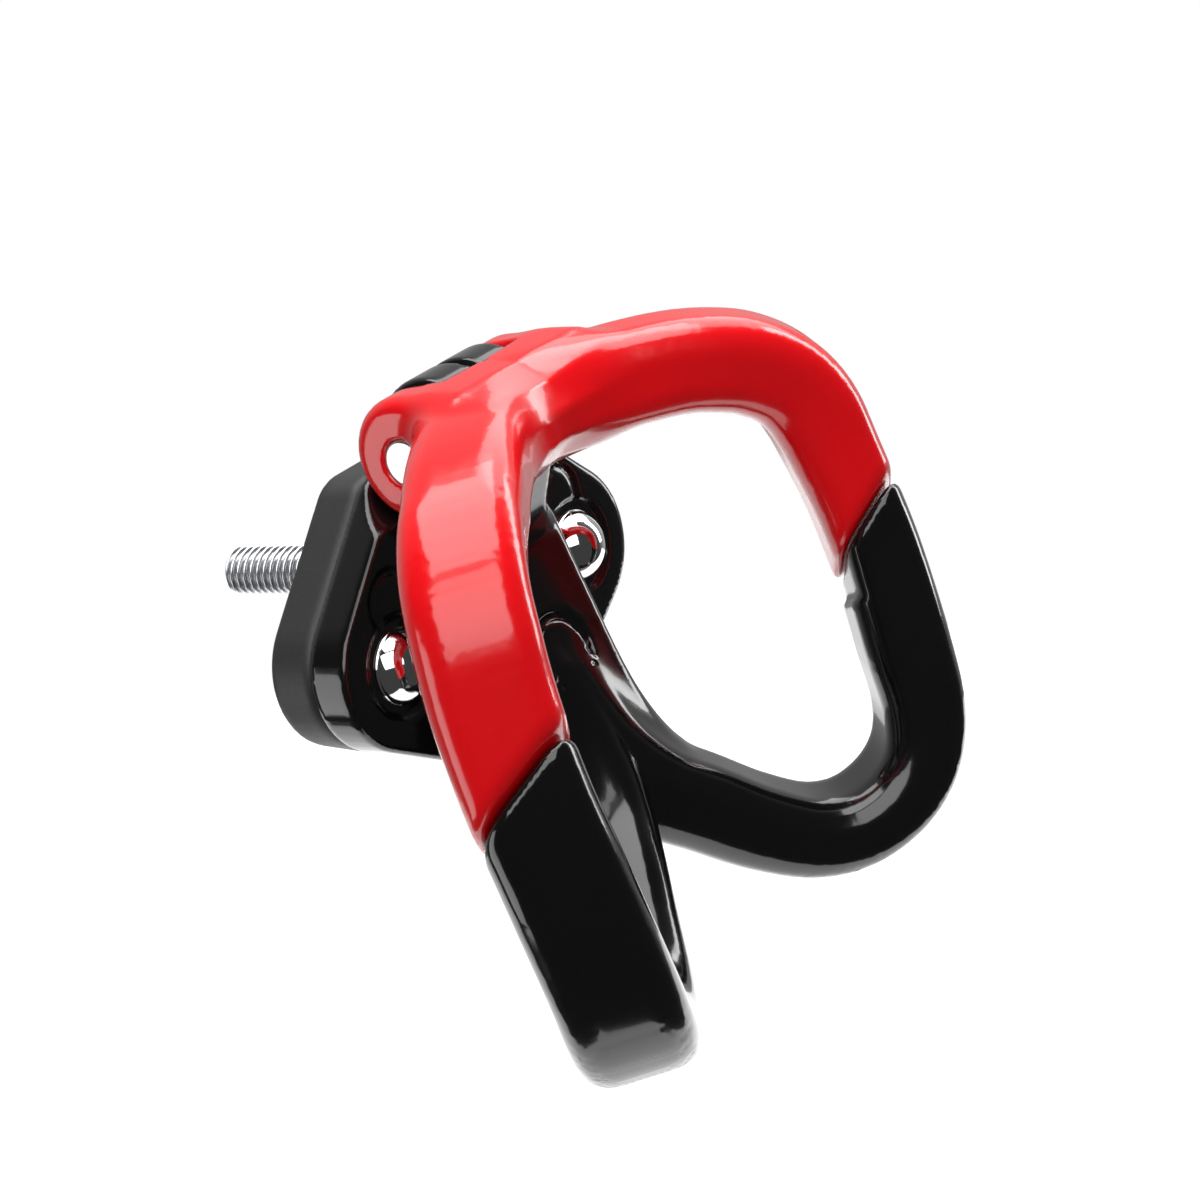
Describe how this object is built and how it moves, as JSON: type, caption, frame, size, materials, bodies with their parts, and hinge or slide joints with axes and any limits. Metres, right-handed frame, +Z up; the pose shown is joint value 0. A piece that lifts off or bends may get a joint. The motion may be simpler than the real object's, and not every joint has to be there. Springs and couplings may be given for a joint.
{
  "type": "double-claw bag and helmet hook",
  "caption": "Vehicle-mounted double-claw hook with a sprung hinged snap gate across both claws, a rubber-padded base plate and a rear mounting stud.",
  "frame": {"origin": "on the mounting stud's axis, at the rear face of the rubber pad", "axes": "+Y backwards along the stud, +Z up, +X to the right seen from the front; mirror-symmetric about X = 0"},
  "size_m": [0.0764, 0.0708, 0.0666],
  "materials": {
    "black_paint": "gloss black paint on die-cast metal",
    "red_paint": "gloss red paint with light orange peel on die-cast metal",
    "pin_steel": "turned steel",
    "spring_steel": "oiled spring wire",
    "pad_rubber": "matte moulded rubber",
    "bolt_zinc": "bright zinc plate",
    "screw_chrome": "polished chrome"
  },
  "bodies": {
    "body": {"hook_body": "black_paint", "hinge_pin": "pin_steel", "torsion_spring": "spring_steel", "rear_pad": "pad_rubber", "mounting_stud": "bolt_zinc", "pad_screw_left": "screw_chrome", "pad_screw_right": "screw_chrome", "pad_nut_left": "bolt_zinc", "pad_nut_right": "bolt_zinc"},
    "gate": {"gate": "red_paint"}
  },
  "joints": [
    {"name": "gate_hinge", "type": "hinge", "parent": "body", "child": "gate", "pos_m": [0, -0.0142, 0.0158], "axis": [1, 0, 0], "range_deg": [0, 28], "stiffness_Nm_per_rad": 0.12, "springref_deg": -28.65, "deforming": ["torsion_spring"]}
  ]
}
